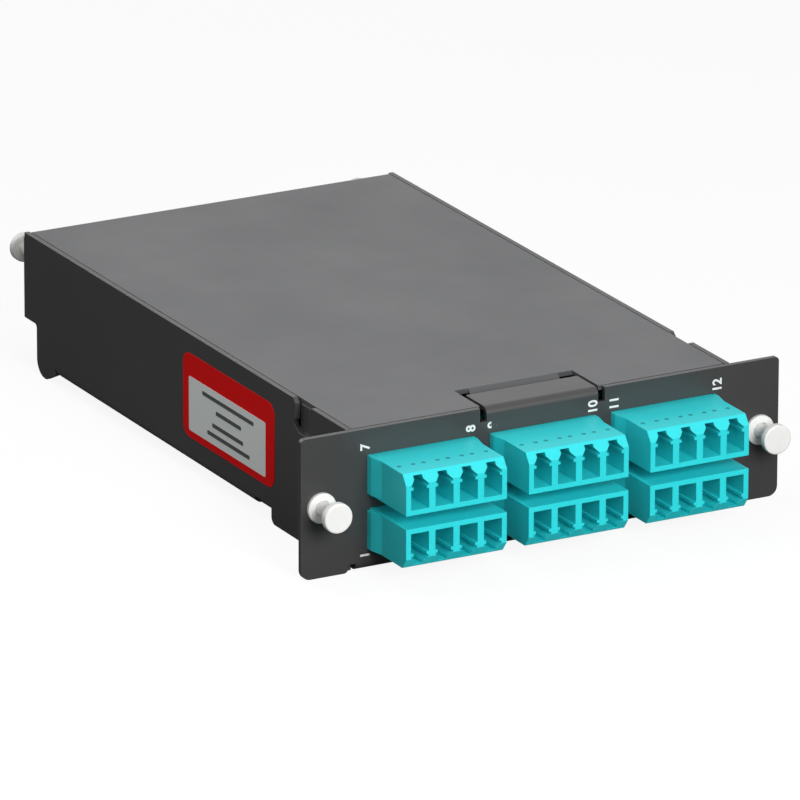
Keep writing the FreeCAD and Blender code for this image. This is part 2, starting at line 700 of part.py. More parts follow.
def make_grommet(doc, label):
    """Split grommet about its own Y axis: collar before the panel, legs behind it."""
    body = new_body(doc, label)
    section = [
        line("grommet_bore / 2", "0 - collar_thick"),
        line("collar / 2 - knob_round", "0 - collar_thick"),
        arc("collar / 2", "0 - collar_thick + knob_round", "knob_round"),
        line("collar / 2", "0"),
        line("neck / 2", "0"),
        line("neck / 2", "sheet + neck_beyond"),
        line("barrel / 2", "sheet + neck_beyond"),
        line("barrel / 2", "barrel_long - barrel_taper"),
        line("barrel / 2 - barrel_narrowing", "barrel_long"),
        line("grommet_bore / 2", "barrel_long"),
    ]
    revolve(body, "turned", section)
    slits = [
        box("0 - barrel", "0 - slit / 2", "barrel", "slit / 2"),
        box("0 - slit / 2", "0 - barrel", "slit / 2", "barrel"),
    ]
    for index, slit in enumerate(slits):
        pocket(body, f"slit_{index}", "XZ_Plane", [slit], "slit_start", f"barrel_long + {OVER}")
    return body


def make_pin(doc, label):
    """Push-pull pin about its own Y axis, drawn in the pulled-out position."""
    body = new_body(doc, label)
    section = [
        line("0", "0 - knob_out"),
        line("knob / 2 - knob_round", "0 - knob_out"),
        arc("knob / 2", "0 - knob_out + knob_round", "knob_round"),
        line("knob / 2", "0 - knob_out + knob_thick - knob_round"),
        arc("knob / 2 - knob_round", "0 - knob_out + knob_thick", "knob_round"),
        line("shank / 2", "0 - knob_out + knob_thick"),
        line("shank / 2", "shank_depth - knob_round"),
        line("shank / 2 - knob_round", "shank_depth"),
        line("0", "shank_depth"),
    ]
    revolve(body, "turned", section)
    return body


def make_plungers(doc):
    """Front plungers stand on the front plate, rear ones on the rear ears and point the other way."""
    bodies = []
    for side, sign in SIDES.items():
        for make, word in ((make_grommet, "grommet"), (make_pin, "pin")):
            front = make(doc, f"front_{word}_{side}")
            place(front, x=f"{sign} * {PLUNGER_PLACE}", y="0 - sheet")
            rear = make(doc, f"rear_{word}_{side}")
            turn = FreeCAD.Vector(0, 0, 1)
            place(rear, f"{sign} * {REAR_PLUNGER_PLACE}", "box_deep", "rear_rise", turn, 180)
            bodies += [front, rear]
    return bodies


# ---------------------------------------------------------------- LC adapters


def port_place(index):
    """Place across an adapter of one of its ports."""
    return f"( {2 * index - PORTS + 1} * port_pitch / 2 )"


def port_outline(middle):
    """Front port in the XZ plane: plug room, latch shoulders, latch room with eaves, crown slot."""
    low = "( port_low - adapter_high / 2 )"
    shoulder = f"( {low} + port_high )"
    latch = f"( {shoulder} + pinch_high )"
    eave = f"( {latch} + latch_high )"
    roof = f"( {eave} + eave_high )"
    crown = f"( {roof} + crown_high )"
    right = [
        ("port_wide", low),
        ("port_wide", shoulder),
        ("pinch_wide", shoulder),
        ("pinch_wide", latch),
        ("latch_wide", latch),
        ("latch_wide", eave),
        ("crown_wide", roof),
        ("crown_wide", crown),
    ]
    outline = [line(f"{middle} + {wide} / 2", height) for wide, height in right]
    outline += [line(f"{middle} - {wide} / 2", height) for wide, height in reversed(right)]
    return outline


def make_adapter(doc, row, block):
    """Housing of a four-port LC adapter, latch side up; the lower row is turned over."""
    body = new_body(doc, f"adapter_{row}_{block}")
    half_wide, half_high = "( adapter_wide / 2 )", "( adapter_high / 2 )"
    rim_wide = f"( {half_wide} + {RIM_SIDE} )"
    profile = [
        line(ADAPTER_FRONT, f"0 - {half_high}"),
        line("adapter_rear", f"0 - {half_high}"),
        line("adapter_rear", half_high),
        line(f"{ADAPTER_FRONT} + brow_deep", half_high),
        line(ADAPTER_FRONT, f"{half_high} - brow_high"),
    ]
    pad(body, "housing", "YZ_Plane", [profile], f"0 - {half_wide}", half_wide)
    rim = [
        line(f"0 - {half_wide}", "0 - sheet - rim_thick"),
        line(half_wide, "0 - sheet - rim_thick"),
        line(rim_wide, "0 - sheet - rim_straight"),
        line(rim_wide, "0 - sheet"),
        line(f"0 - {rim_wide}", "0 - sheet"),
        line(f"0 - {rim_wide}", "0 - sheet - rim_straight"),
    ]
    pad(body, "flange", "XY_Plane", [rim], f"0 - {half_high} + rim_short", half_high)
    ports = [port_outline(port_place(index)) for index in range(PORTS)]
    pocket(body, "front_ports", "XZ_Plane", ports, f"{ADAPTER_FRONT} - {OVER}", MOUNT_FRONT)
    low = "( port_low - adapter_high / 2 )"
    channels = [
        box(
            f"{port_place(index)} - port_wide / 2",
            low,
            f"{port_place(index)} + port_wide / 2",
            f"{low} + port_high",
        )
        for index in range(PORTS)
    ]
    pocket(body, "channels", "XZ_Plane", channels, MOUNT_FRONT, f"adapter_rear + {OVER}")
    put_in_row(body, row, block)
    return body


def put_in_row(body, row, block):
    """Place a piece drawn about an adapter's middle; pieces of the lower row are turned over."""
    turned = ROWS[row] < 0
    axis = FreeCAD.Vector(0, 1, 0) if turned else None
    place(body, x=block_place(block), z=row_height(row), axis=axis, angle=180)


def make_mounts(doc, row, block):
    """Sleeve mounts, a block with a tube both ways in each port, as one group of four solids."""
    wide, high = number("port_wide"), number("port_high")
    front, rear = number(MOUNT_FRONT), number(MOUNT_REAR)
    tube_front, tube_rear = front - number("mount_tube_long"), rear + number("mount_tube_long")
    height = number(FERRULE_HEIGHT)
    along = FreeCAD.Vector(0, 1, 0)
    mounts = []
    for index in range(PORTS):
        middle = number(port_place(index))
        block_solid = Part.makeBox(
            wide, rear - front, high, FreeCAD.Vector(middle - wide / 2, front, height - high / 2)
        )
        start = FreeCAD.Vector(middle, tube_front, height)
        tube = Part.makeCylinder(number("mount_tube / 2"), tube_rear - tube_front, start, along)
        bore = Part.makeCylinder(
            number("sleeve / 2 + sleeve_fit"), tube_rear - tube_front, start, along
        )
        mounts.append(block_solid.fuse(tube).cut(bore).removeSplitter())
    feature = doc.addObject("Part::Feature", f"sleeve_mounts_{row}_{block}")
    feature.Shape = Part.makeCompound(mounts)
    put_in_row(feature, row, block)
    return feature


def make_sleeves(doc, row, block):
    """Split-sleeve tubes that line up the ferrules, four to an adapter, as one group of solids."""
    tubes = []
    for index in range(PORTS):
        centre = FreeCAD.Vector(
            number(port_place(index)),
            number(f"{ADAPTER_MIDDLE} - sleeve_long / 2"),
            number(FERRULE_HEIGHT),
        )
        along = FreeCAD.Vector(0, 1, 0)
        outside = Part.makeCylinder(number("sleeve / 2"), number("sleeve_long"), centre, along)
        bore = Part.makeCylinder(number("sleeve_bore / 2"), number("sleeve_long"), centre, along)
        tubes.append(outside.cut(bore))
    feature = doc.addObject("Part::Feature", f"sleeves_{row}_{block}")
    feature.Shape = Part.makeCompound(tubes)
    put_in_row(feature, row, block)
    return feature


def make_clip(doc, row, block):
    """Spring strip over the back of an adapter, its wings bearing on the rear of the front plate."""
    body = new_body(doc, f"clip_{row}_{block}")
    side, roof = "( adapter_wide / 2 )", "( adapter_high / 2 )"
    outer, crest = f"( {side} + clip_thick )", f"( {roof} + clip_thick )"
    strip = [
        line(f"0 - {outer}", f"{crest} - clip_leg"),
        line(f"0 - {side}", f"{crest} - clip_leg"),
        line(f"0 - {side}", roof),
        line(side, roof),
        line(side, f"{crest} - clip_leg"),
        line(outer, f"{crest} - clip_leg"),
        line(outer, crest),
        line(f"0 - {outer}", crest),
    ]
    pad(body, "strip", "XZ_Plane", [strip], "0", "clip_deep")
    for name, sign in SIDES.items():
        wing = [
            line(f"{sign} * {outer}", "0"),
            line(f"{sign} * ( {outer} + clip_wing )", "0"),
            line(f"{sign} * ( {outer} + clip_wing )", "clip_thick"),
            line(f"{sign} * {outer}", "clip_deep / 2"),
        ]
        low, high = f"{crest} - clip_leg", f"{crest} - clip_leg + clip_wing_high"
        pad(body, f"wing_{name}", "XY_Plane", [wing], low, high)
    put_in_row(body, row, block)
    return body


def make_inner_plugs(doc, row, block):
    """Inner LC plugs of one adapter: body, ferrule and boot, as one group of four solids."""
    front = number("adapter_rear - plug_in")
    rear = number("adapter_rear + plug_out")
    tip = number(f"{ADAPTER_MIDDLE} + ferrule_gap")
    size = number("plug_size")
    height = number(FERRULE_HEIGHT)
    if front < number(f"{MOUNT_REAR} + mount_tube_long"):
        raise RuntimeError("an inner plug would meet its sleeve mount")
    along = FreeCAD.Vector(0, 1, 0)
    plugs = []
    for index in range(PORTS):
        middle = number(port_place(index))
        corner = FreeCAD.Vector(middle - size / 2, front, height - size / 2)
        housing = Part.makeBox(size, rear - front, size, corner)
        ferrule = Part.makeCylinder(
            number("ferrule / 2"), front - tip, FreeCAD.Vector(middle, tip, height), along
        )
        boot = Part.makeCone(
            number("boot_front / 2"),
            number("boot_rear / 2"),
            number("boot_long"),
            FreeCAD.Vector(middle, rear, height),
            along,
        )
        plugs.append(housing.fuse([ferrule, boot]).removeSplitter())
    feature = doc.addObject("Part::Feature", f"inner_plugs_{row}_{block}")
    feature.Shape = Part.makeCompound(plugs)
    put_in_row(feature, row, block)
    return feature


# ---------------------------------------------------------------- MPO adapters and plugs


def make_mpo_adapter(doc, side):
    """MPO adapter through the rear wall, its flange behind the wall and a keyway over its port."""
    body = new_body(doc, f"mpo_adapter_{side}")
    half_wide, half_high = "( mpo_wide / 2 )", "( mpo_high / 2 )"
    shell = box(f"0 - {half_wide}", f"0 - {half_high}", half_wide, half_high)
    pad(body, "shell", "XZ_Plane", [shell], "0 - sheet - mpo_in", "mpo_out")
    flange_wide, flange_high = "( mpo_flange / 2 )", f"( {half_high} + mpo_flange_over )"
    flange = box(f"0 - {flange_wide}", f"0 - {flange_high}", flange_wide, flange_high)
    pad(body, "flange", "XZ_Plane", [flange], "0", "mpo_flange_thick")
    port_wide, port_high = "( mpo_port_wide / 2 )", "( mpo_port_high / 2 )"
    port = [
        line(f"0 - {port_wide}", f"0 - {port_high}"),
        line(port_wide, f"0 - {port_high}"),
        line(port_wide, port_high),
        line("mpo_key_wide / 2", port_high),
        line("mpo_key_wide / 2", f"{port_high} + mpo_key_high"),
        line("0 - mpo_key_wide / 2", f"{port_high} + mpo_key_high"),
        line("0 - mpo_key_wide / 2", port_high),
        line(f"0 - {port_wide}", port_high),
    ]
    pocket(body, "port", "XZ_Plane", [port], f"0 - sheet - mpo_in - {OVER}", f"mpo_out + {OVER}")
    place(body, f"{SIDES[side]} * {MPO_PLACE}", REAR_WALL, MPO_HEIGHT)
    return body


def make_mpo_plug(doc, side):
    """Inner MPO plug about its own Y axis: housing, flat ferrule and tapered boot."""
    body = new_body(doc, f"mpo_plug_{side}")
    half_wide, half_high = "( mpo_plug_wide / 2 )", "( mpo_plug_high / 2 )"
    housing = box(f"0 - {half_wide}", f"0 - {half_high}", half_wide, half_high)
    pad(body, "housing", "XZ_Plane", [housing], "0 - mpo_plug_long", "0")
    ferrule = box(
        "0 - mpo_ferrule_wide / 2",
        "0 - mpo_ferrule_high / 2",
        "mpo_ferrule_wide / 2",
        "mpo_ferrule_high / 2",
    )
    pad(body, "ferrule", "XZ_Plane", [ferrule], "0", "mpo_ferrule_long")
    boot = [
        line("0", "0 - mpo_plug_long"),
        line("mpo_boot / 2", "0 - mpo_plug_long"),
        line("bundle / 2 + sheet_gap", "0 - mpo_plug_long - mpo_boot_long"),
        line("0", "0 - mpo_plug_long - mpo_boot_long"),
    ]
    revolve(body, "boot", boot)
    place(body, f"{SIDES[side]} * {MPO_PLACE}", f"{REAR_WALL} - sheet", MPO_HEIGHT)
    return body


# ---------------------------------------------------------------- slack drums and harnesses


def make_drum(doc, side):
    """Slack drum: a tube with a foot flange and a snap stud in the floor."""
    feature = doc.addObject("Part::Feature", f"slack_drum_{side}")
    hub = number("coil_turn - bundle / 2 - sheet_gap")
    floor, under = number(FLOOR_TOP), number(FLOOR_UNDER)
    middle = FreeCAD.Vector(SIDES[side] * number(DRUM_PLACE), number("coil_back"), floor)
    foot = Part.makeCylinder(hub + number("drum_foot"), number("drum_foot_thick"), middle)
    tube = Part.makeCylinder(hub, number("drum_high"), middle)
    hollow_base = middle + FreeCAD.Vector(0, 0, number("drum_foot_thick"))
    hollow = Part.makeCylinder(hub - number("drum_wall"), number("drum_high"), hollow_base)
    stud = Part.makeCylinder(
        number("drum_stud / 2"), floor - under, FreeCAD.Vector(middle.x, middle.y, under)
    )
    feature.Shape = foot.fuse([tube, stud]).cut(hollow).removeSplitter()
    return feature


def make_harness(doc, side, row):
    """Fibre harness: bundle from the MPO boot past the slack coil to a breakout block, then the fibres."""
    feature = doc.addObject("Part::Feature", f"harness_{side}")
    place_x = SIDES[side] * number(MPO_PLACE)
    boot_end = number(f"{REAR_WALL} - sheet - mpo_plug_long - mpo_boot_long")
    block_front = number("breakout_back")
    block_rear = block_front + number("breakout_deep")
    low, high = number(MPO_HEIGHT), number(f"{row_height(row)} + {ROWS[row]} * {FERRULE_HEIGHT}")
    start = FreeCAD.Vector(place_x, boot_end, low)
    end = FreeCAD.Vector(place_x, block_rear, high)
    bundle = Part.makeCylinder(number("bundle / 2"), (end - start).Length, start, end - start)
    share = (boot_end - number("coil_back")) / (boot_end - block_rear)
    coil_height = low + (high - low) * share - number("bundle / 3")
    coil_middle = FreeCAD.Vector(SIDES[side] * number(DRUM_PLACE), number("coil_back"), coil_height)
    coil = Part.makeTorus(number("coil_turn"), number("bundle / 2"), coil_middle)
    wide, thick = number("breakout_wide"), number("breakout_high")
    corner = FreeCAD.Vector(place_x - wide / 2, block_front, high - thick / 2)
    block = Part.makeBox(wide, block_rear - block_front, thick, corner)
    fibres = harness_fibres(place_x, block_front, high, row)
    feature.Shape = bundle.fuse([coil, block] + fibres).removeSplitter()
    return feature


def harness_fibres(place_x, block_front, height, row):
    """Buffered fibres from the breakout block's face to the boots of one row of inner plugs."""
    boot_end = number("adapter_rear + plug_out + boot_long")
    spread = number("breakout_wide") / MEMBERS_PER_HARNESS
    targets = sorted(
        number(block_place(block)) + number(port_place(index)) for block in BLOCKS for index in range(PORTS)
    )
    fibres = []
    for count, target in enumerate(targets):
        offset = (count - (MEMBERS_PER_HARNESS - 1) / 2) * spread
        start = FreeCAD.Vector(place_x + offset, block_front, height)
        end = FreeCAD.Vector(target, boot_end, height)
        fibres.append(Part.makeCylinder(number("fibre / 2"), (end - start).Length, start, end - start))
    return fibres


# ---------------------------------------------------------------- assembly and output


def build(doc):
    """Every piece of the cassette, in its own node."""
    pieces = [make_tray(doc), make_lid(doc)]
    pieces += make_plungers(doc)
    for row in ROWS:
        for block in BLOCKS:
            pieces.append(make_adapter(doc, row, block))
            pieces.append(make_mounts(doc, row, block))
            pieces.append(make_sleeves(doc, row, block))
            pieces.append(make_clip(doc, row, block))
            pieces.append(make_inner_plugs(doc, row, block))
    for side, row in (("left", "lower"), ("right", "upper")):
        pieces.append(make_mpo_adapter(doc, side))
        pieces.append(make_mpo_plug(doc, side))
        pieces.append(make_drum(doc, side))
        pieces.append(make_harness(doc, side, row))
    return pieces


def check(doc, pieces):
    """Stop before anything is written if an object failed or a shape isn't sound."""
    doc.recompute()
    for item in doc.Objects:
        if "Invalid" in item.State or "Error" in item.State:
            raise RuntimeError(f"{item.Label}: {item.State}")
    for piece in pieces:
        if piece.Shape.isNull() or not piece.Shape.isValid():
            raise RuntimeError(f"{piece.Label}: shape is null or not valid")


def write(pieces):
    """One STEP file for each piece."""
    os.makedirs("parts", exist_ok=True)
    for piece in pieces:
        piece.Shape.exportStep(f"parts/{piece.Label}.step")


def main():
    """Build, check and write the cassette, and list its pieces."""
    doc = FreeCAD.newDocument("fibre_cassette")
    make_sheet(doc)
    pieces = build(doc)
    check(doc, pieces)
    write(pieces)
    for piece in pieces:
        solids = len(piece.Shape.Solids)
        print(f"{piece.Label}: {solids} solid(s), {piece.Shape.Volume:.1f} mm3")


main()
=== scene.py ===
"""Fibre cassette: finishes, printed numbers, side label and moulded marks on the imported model.

X runs to the right along the front plate, Y to the rear and Z up, in metres. The origin lies midway
between the two front plungers, on the rear face of the front plate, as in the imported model.
"""

import logging
import math
from dataclasses import dataclass
from enum import Enum
from typing import Callable

import bmesh
import bpy
from mathutils import Matrix, Vector


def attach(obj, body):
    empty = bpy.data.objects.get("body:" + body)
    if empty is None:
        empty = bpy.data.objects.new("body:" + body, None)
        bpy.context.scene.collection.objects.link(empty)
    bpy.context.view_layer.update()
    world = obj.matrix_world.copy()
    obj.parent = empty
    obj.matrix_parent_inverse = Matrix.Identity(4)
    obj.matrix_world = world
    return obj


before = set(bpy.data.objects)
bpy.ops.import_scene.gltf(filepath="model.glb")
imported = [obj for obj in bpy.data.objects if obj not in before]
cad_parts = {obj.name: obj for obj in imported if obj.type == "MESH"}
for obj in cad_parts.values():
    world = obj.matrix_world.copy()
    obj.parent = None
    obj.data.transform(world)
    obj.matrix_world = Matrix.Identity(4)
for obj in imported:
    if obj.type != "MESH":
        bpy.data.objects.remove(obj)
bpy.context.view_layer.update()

log = logging.getLogger("cassette")

MM = 0.001
BODY = "cassette"
BLOCK_PITCH = 31.6  # mm, adapters along the plate
PORT_PITCH = 6.25  # mm, ports of one adapter
PORTS = 4  # ports of one adapter
WHITE = (1.0, 1.0, 1.0, 1.0)

# Sockets of the mix node when it mixes colours; they have no names of their own.
MIX_SHARE, MIX_FIRST, MIX_SECOND, MIX_RESULT = 0, 6, 7, 2
BEVEL_SAMPLES = 6


# ---------------------------------------------------------------- colour and node helpers


def linear(code: str) -> tuple[float, float, float, float]:
    """Turn an sRGB hex code into linear light.

    Args:
        code: six hex digits, with or without a hash.

    Returns:
        Red, green, blue and an alpha of one.
    """
    digits = code.lstrip("#")
    channels = []
    for start in (0, 2, 4):
        value = int(digits[start : start + 2], 16) / 255
        # The sRGB curve is straight near black and a power above it.
        channels.append(value / 12.92 if value <= 0.04045 else ((value + 0.055) / 1.055) ** 2.4)
    return channels[0], channels[1], channels[2], 1.0


def per_mm(size: float) -> float:
    """Find the texture scale for features of a size.

    Args:
        size: about how many millimetres a feature is across.

    Returns:
        The scale.
    """
    return 1.0 / (size * MM)


def add_node(
    tree: bpy.types.NodeTree, kind: str, sockets: dict | None = None, **settings
) -> bpy.types.Node:
    """Add a node, set its properties and sockets, and link its inputs.

    Args:
        tree: the node tree.
        kind: the node's type name.
        sockets: input name or index to a value or an output socket.
        settings: properties of the node itself.

    Returns:
        The new node.
    """
    node = tree.nodes.new(kind)
    for name, value in settings.items():
        setattr(node, name, value)
    for name, value in (sockets or {}).items():
        socket = node.inputs[name]
        if isinstance(value, bpy.types.NodeSocket):
            tree.links.new(value, socket)
        else:
            socket.default_value = value
    return node


def blank_material(
    name: str,
) -> tuple[bpy.types.Material, bpy.types.NodeTree, bpy.types.NodeSocket]:
    """Make a material with no nodes but object coordinates to draw patterns on.

    Args:
        name: name of the material.

    Returns:
        The material, its tree and the object coordinate socket.
    """
    material = bpy.data.materials.new(name)
    material.use_nodes = True
    tree = material.node_tree
    tree.nodes.clear()
    place = add_node(tree, "ShaderNodeTexCoord").outputs["Object"]
    return material, tree, place


def noise(
    tree: bpy.types.NodeTree, place: bpy.types.NodeSocket, size: float, **settings: float
) -> bpy.types.NodeSocket:
    """Draw noise on coordinates.

    Args:
        tree: the node tree.
        place: the coordinates.
        size: size of the noise's features in millimetres.
        settings: the noise's other sockets, by name.

    Returns:
        The noise, from nought to one.
    """
    sockets = {"Vector": place, "Scale": per_mm(size), **settings}
    return add_node(tree, "ShaderNodeTexNoise", sockets).outputs["Fac"]


def ramp(
    tree: bpy.types.NodeTree,
    value: bpy.types.NodeSocket,
    source: tuple[float, float],
    target: tuple[float, float],
) -> bpy.types.NodeSocket:
    """Stretch a value from one range to another and keep it inside.

    Args:
        tree: the node tree.
        value: the value.
        source: where the range starts and ends.
        target: what the start and the end become.

    Returns:
        The stretched value.
    """
    sockets = {
        "Value": value,
        "From Min": source[0],
        "From Max": source[1],
        "To Min": target[0],
        "To Max": target[1],
    }
    return add_node(tree, "ShaderNodeMapRange", sockets, clamp=True).outputs[0]


def mix_colours(
    tree: bpy.types.NodeTree,
    share: float | bpy.types.NodeSocket,
    first: tuple | bpy.types.NodeSocket,
    second: tuple | bpy.types.NodeSocket,
) -> bpy.types.NodeSocket:
    """Mix two colours.

    Args:
        tree: the node tree.
        share: share of the second colour.
        first: the colour at a share of nought.
        second: the colour at a share of one.

    Returns:
        The mixed colour.
    """
    sockets = {MIX_SHARE: share, MIX_FIRST: first, MIX_SECOND: second}
    return add_node(tree, "ShaderNodeMix", sockets, data_type="RGBA").outputs[MIX_RESULT]


def soft_corners(tree: bpy.types.NodeTree, radius: float) -> bpy.types.NodeSocket:
    """Bend the normal round at corners.

    Args:
        tree: the node tree.
        radius: radius of the corners in millimetres.

    Returns:
        The bent normal.
    """
    sockets = {"Radius": radius * MM}
    return add_node(tree, "ShaderNodeBevel", sockets, samples=BEVEL_SAMPLES).outputs[0]


def relief(
    tree: bpy.types.NodeTree,
    height: bpy.types.NodeSocket,
    depth: float,
    strength: float,
    normal: bpy.types.NodeSocket | None = None,
) -> bpy.types.NodeSocket:
    """Tilt the normal as fine relief does.

    Args:
        tree: the node tree.
        height: the relief, from nought to one.
        depth: its depth in millimetres.
        strength: share of the relief that shows.
        normal: the normal to start from, if it isn't the face's own.

    Returns:
        The tilted normal.
    """
    sockets = {"Height": height, "Distance": depth * MM, "Strength": strength}
    if normal is not None:
        sockets["Normal"] = normal
    return add_node(tree, "ShaderNodeBump", sockets).outputs[0]


def finish_material(tree: bpy.types.NodeTree, shader: bpy.types.NodeSocket) -> None:
    """Link a shader to a new output node.

    Args:
        tree: the node tree.
        shader: the shader's output.
    """
    add_node(tree, "ShaderNodeOutputMaterial", {"Surface": shader})


def finish_surface(tree: bpy.types.NodeTree, sockets: dict) -> None:
    """Give a material a principled surface.

    Args:
        tree: the node tree.
        sockets: the surface's inputs.
    """
    finish_material(tree, add_node(tree, "ShaderNodeBsdfPrincipled", sockets).outputs[0])


# ---------------------------------------------------------------- finishes


@dataclass(frozen=True)
class PowderCoat:
    """Polyester powder coat baked on folded steel: satin, fine orange peel, with a paler colour
    painted on its edges as a highlight.
    """

    name: str = "powder_coated_steel"
    colour: str = "#3A3939"
    worn: str = "#6B6A69"  # pale colour of the powder's grains, also painted on sharp edges as a highlight
    roughness: float = 0.36
    specular: float = 0.5
    ior: float = 1.5
    peel: float = 0.55  # mm, one dimple of the orange peel
    peel_depth: float = 0.012  # mm
    peel_strength: float = 0.6
    speck: float = 0.18  # mm, grains of the powder
    speck_share: float = 0.12  # of the grains in the colour
    cloud: float = 28.0  # mm, patches of more and less gloss
    cloud_range: tuple[float, float] = (0.3, 0.7)  # of the noise that makes the patches
    glossier: float = 0.04  # roughness taken off where the coat is glossiest
    duller: float = 0.05  # roughness added where it is dullest
    edge: float = 0.22  # mm, rounding that the coat gives a sheared edge
    wear_turn: tuple[float, float] = (0.985, 0.80)  # cosines of the bend, no painted highlight and full painted highlight
    wear_share: float = 0.55  # of the pale colour painted on a sharp edge as a highlight

    def build(self) -> bpy.types.Material:
        """Make the material from its peel, specks, patches, softened edges and a painted edge
        highlight.

        Returns:
            The material.
        """
        material, tree, place = blank_material(self.name)
        peel = noise(tree, place, self.peel, Detail=2.0, Roughness=0.45)
        speck = noise(tree, place, self.speck, Detail=1.0)
        cloud = noise(tree, place, self.cloud, Detail=3.0, Roughness=0.6)
        soft = soft_corners(tree, self.edge)
        normal = relief(tree, peel, self.peel_depth, self.peel_strength, soft)
        face = add_node(tree, "ShaderNodeNewGeometry").outputs["Normal"]
        turn = add_node(
            tree, "ShaderNodeVectorMath", {0: soft, 1: face}, operation="DOT_PRODUCT"
        ).outputs["Value"]
        # Where the corner rounding bends the normal, the pale colour is mixed in: a painted
        # highlight along the edges.
        edge_highlight = ramp(tree, turn, self.wear_turn, (0.0, self.wear_share))
        grain = mix_colours(tree, speck, linear(self.colour), linear(self.worn))
        tone = mix_colours(tree, self.speck_share, linear(self.colour), grain)
        colour = mix_colours(tree, edge_highlight, tone, linear(self.worn))
        rough = (self.roughness - self.glossier, self.roughness + self.duller)
        sockets = {
            "Base Color": colour,
            "Roughness": ramp(tree, cloud, self.cloud_range, rough),
            "Normal": normal,
            "IOR": self.ior,
            "Specular IOR Level": self.specular,
        }
        finish_surface(tree, sockets)
        return material


@dataclass(frozen=True)
class MouldedPlastic:
    """Injection-moulded plastic: satin, faint flow mottle, soft corners, fine spark texture."""

    name: str
    colour: str
    shade: str  # colour that the mottle leans to
    roughness: float = 0.4
    spark: float = 0.25  # mm, grit of the mould's spark-eroded face
    spark_depth: float = 0.006  # mm
    spark_strength: float = 0.5
    mottle: float = 9.0  # mm, clouds left by the flow
    mottle_range: tuple[float, float] = (0.35, 0.7)  # of the noise that makes the clouds
    mottle_share: float = 0.5  # of the shade in the densest cloud
    edge: float = 0.15  # mm, corner radius of the moulding
    scatter: float = 0.0  # share of light that enters the plastic
    scatter_depth: float = 0.8  # mm that blue light travels in it
    scatter_radius: tuple[float, float, float] = (0.8, 0.9, 1.0)  # of that, by colour
    ior: float = 1.5
    specular: float = 0.5

    def build(self) -> bpy.types.Material:
        """Make the material from its mottle, spark texture and softened corners.

        Returns:
            The material.
        """
        material, tree, place = blank_material(self.name)
        mottle = noise(tree, place, self.mottle, Detail=3.0, Roughness=0.55)
        spark = noise(tree, place, self.spark, Detail=1.0)
        soft = soft_corners(tree, self.edge)
        normal = relief(tree, spark, self.spark_depth, self.spark_strength, soft)
        blend = ramp(tree, mottle, self.mottle_range, (0.0, self.mottle_share))
        sockets = {
            "Base Color": mix_colours(tree, blend, linear(self.colour), linear(self.shade)),
            "Roughness": self.roughness,
            "Normal": normal,
            "IOR": self.ior,
            "Specular IOR Level": self.specular,
        }
        if self.scatter:
            sockets["Subsurface Weight"] = self.scatter
            sockets["Subsurface Radius"] = self.scatter_radius
            sockets["Subsurface Scale"] = self.scatter_depth * MM
        finish_surface(tree, sockets)
        return material


@dataclass(frozen=True)
class BrightSteel:
    """Rolled spring steel strip: bright, with fine lines along the roll."""

    name: str = "rolled_spring_steel"
    colour: str = "#C3C2BE"
    line: float = 0.12  # mm between roll lines
    stretch: tuple[float, float, float] = (1.0, 0.02, 1.0)  # draws the noise out along Y
    line_depth: float = 0.002  # mm
    line_strength: float = 0.4
    roughness: tuple[float, float] = (0.22, 0.42)  # in and between the lines

    def build(self) -> bpy.types.Material:
        """Make the material, its roll lines drawn by noise stretched along Y.

        Returns:
            The material.
        """
        material, tree, place = blank_material(self.name)
        drawn = add_node(tree, "ShaderNodeMapping", {"Vector": place, "Scale": self.stretch})
        lines = noise(tree, drawn.outputs[0], self.line, Detail=2.0)
        sockets = {
            "Base Color": linear(self.colour),
            "Metallic": 1.0,
            "Roughness": ramp(tree, lines, (0.0, 1.0), self.roughness),
            "Normal": relief(tree, lines, self.line_depth, self.line_strength),
        }
        finish_surface(tree, sockets)
        return material


@dataclass(frozen=True)
class PrintedFilm:
    """Screen-printed ink or printed vinyl: a thin even film that lets a little grain show."""

    name: str
    colour: str
    faded: str  # colour where the film is thin
    roughness: float = 0.45
    specular: float = 0.3
    grain: float = 0.35  # mm
    grain_depth: float = 0.003  # mm
    grain_strength: float = 0.4
    thin_range: tuple[float, float] = (0.55, 0.8)  # of the grain where the film is thin
    thin_share: float = 0.5  # of the faded colour where it is thinnest

    def build(self) -> bpy.types.Material:
        """Make the material from the uneven thickness of the film.

        Returns:
            The material.
        """
        material, tree, place = blank_material(self.name)
        grain = noise(tree, place, self.grain, Detail=2.0)
        thin = ramp(tree, grain, self.thin_range, (0.0, self.thin_share))
        sockets = {
            "Base Color": mix_colours(tree, thin, linear(self.colour), linear(self.faded)),
            "Roughness": self.roughness,
            "Normal": relief(tree, grain, self.grain_depth, self.grain_strength),
            "Specular IOR Level": self.specular,
        }
        finish_surface(tree, sockets)
        return material


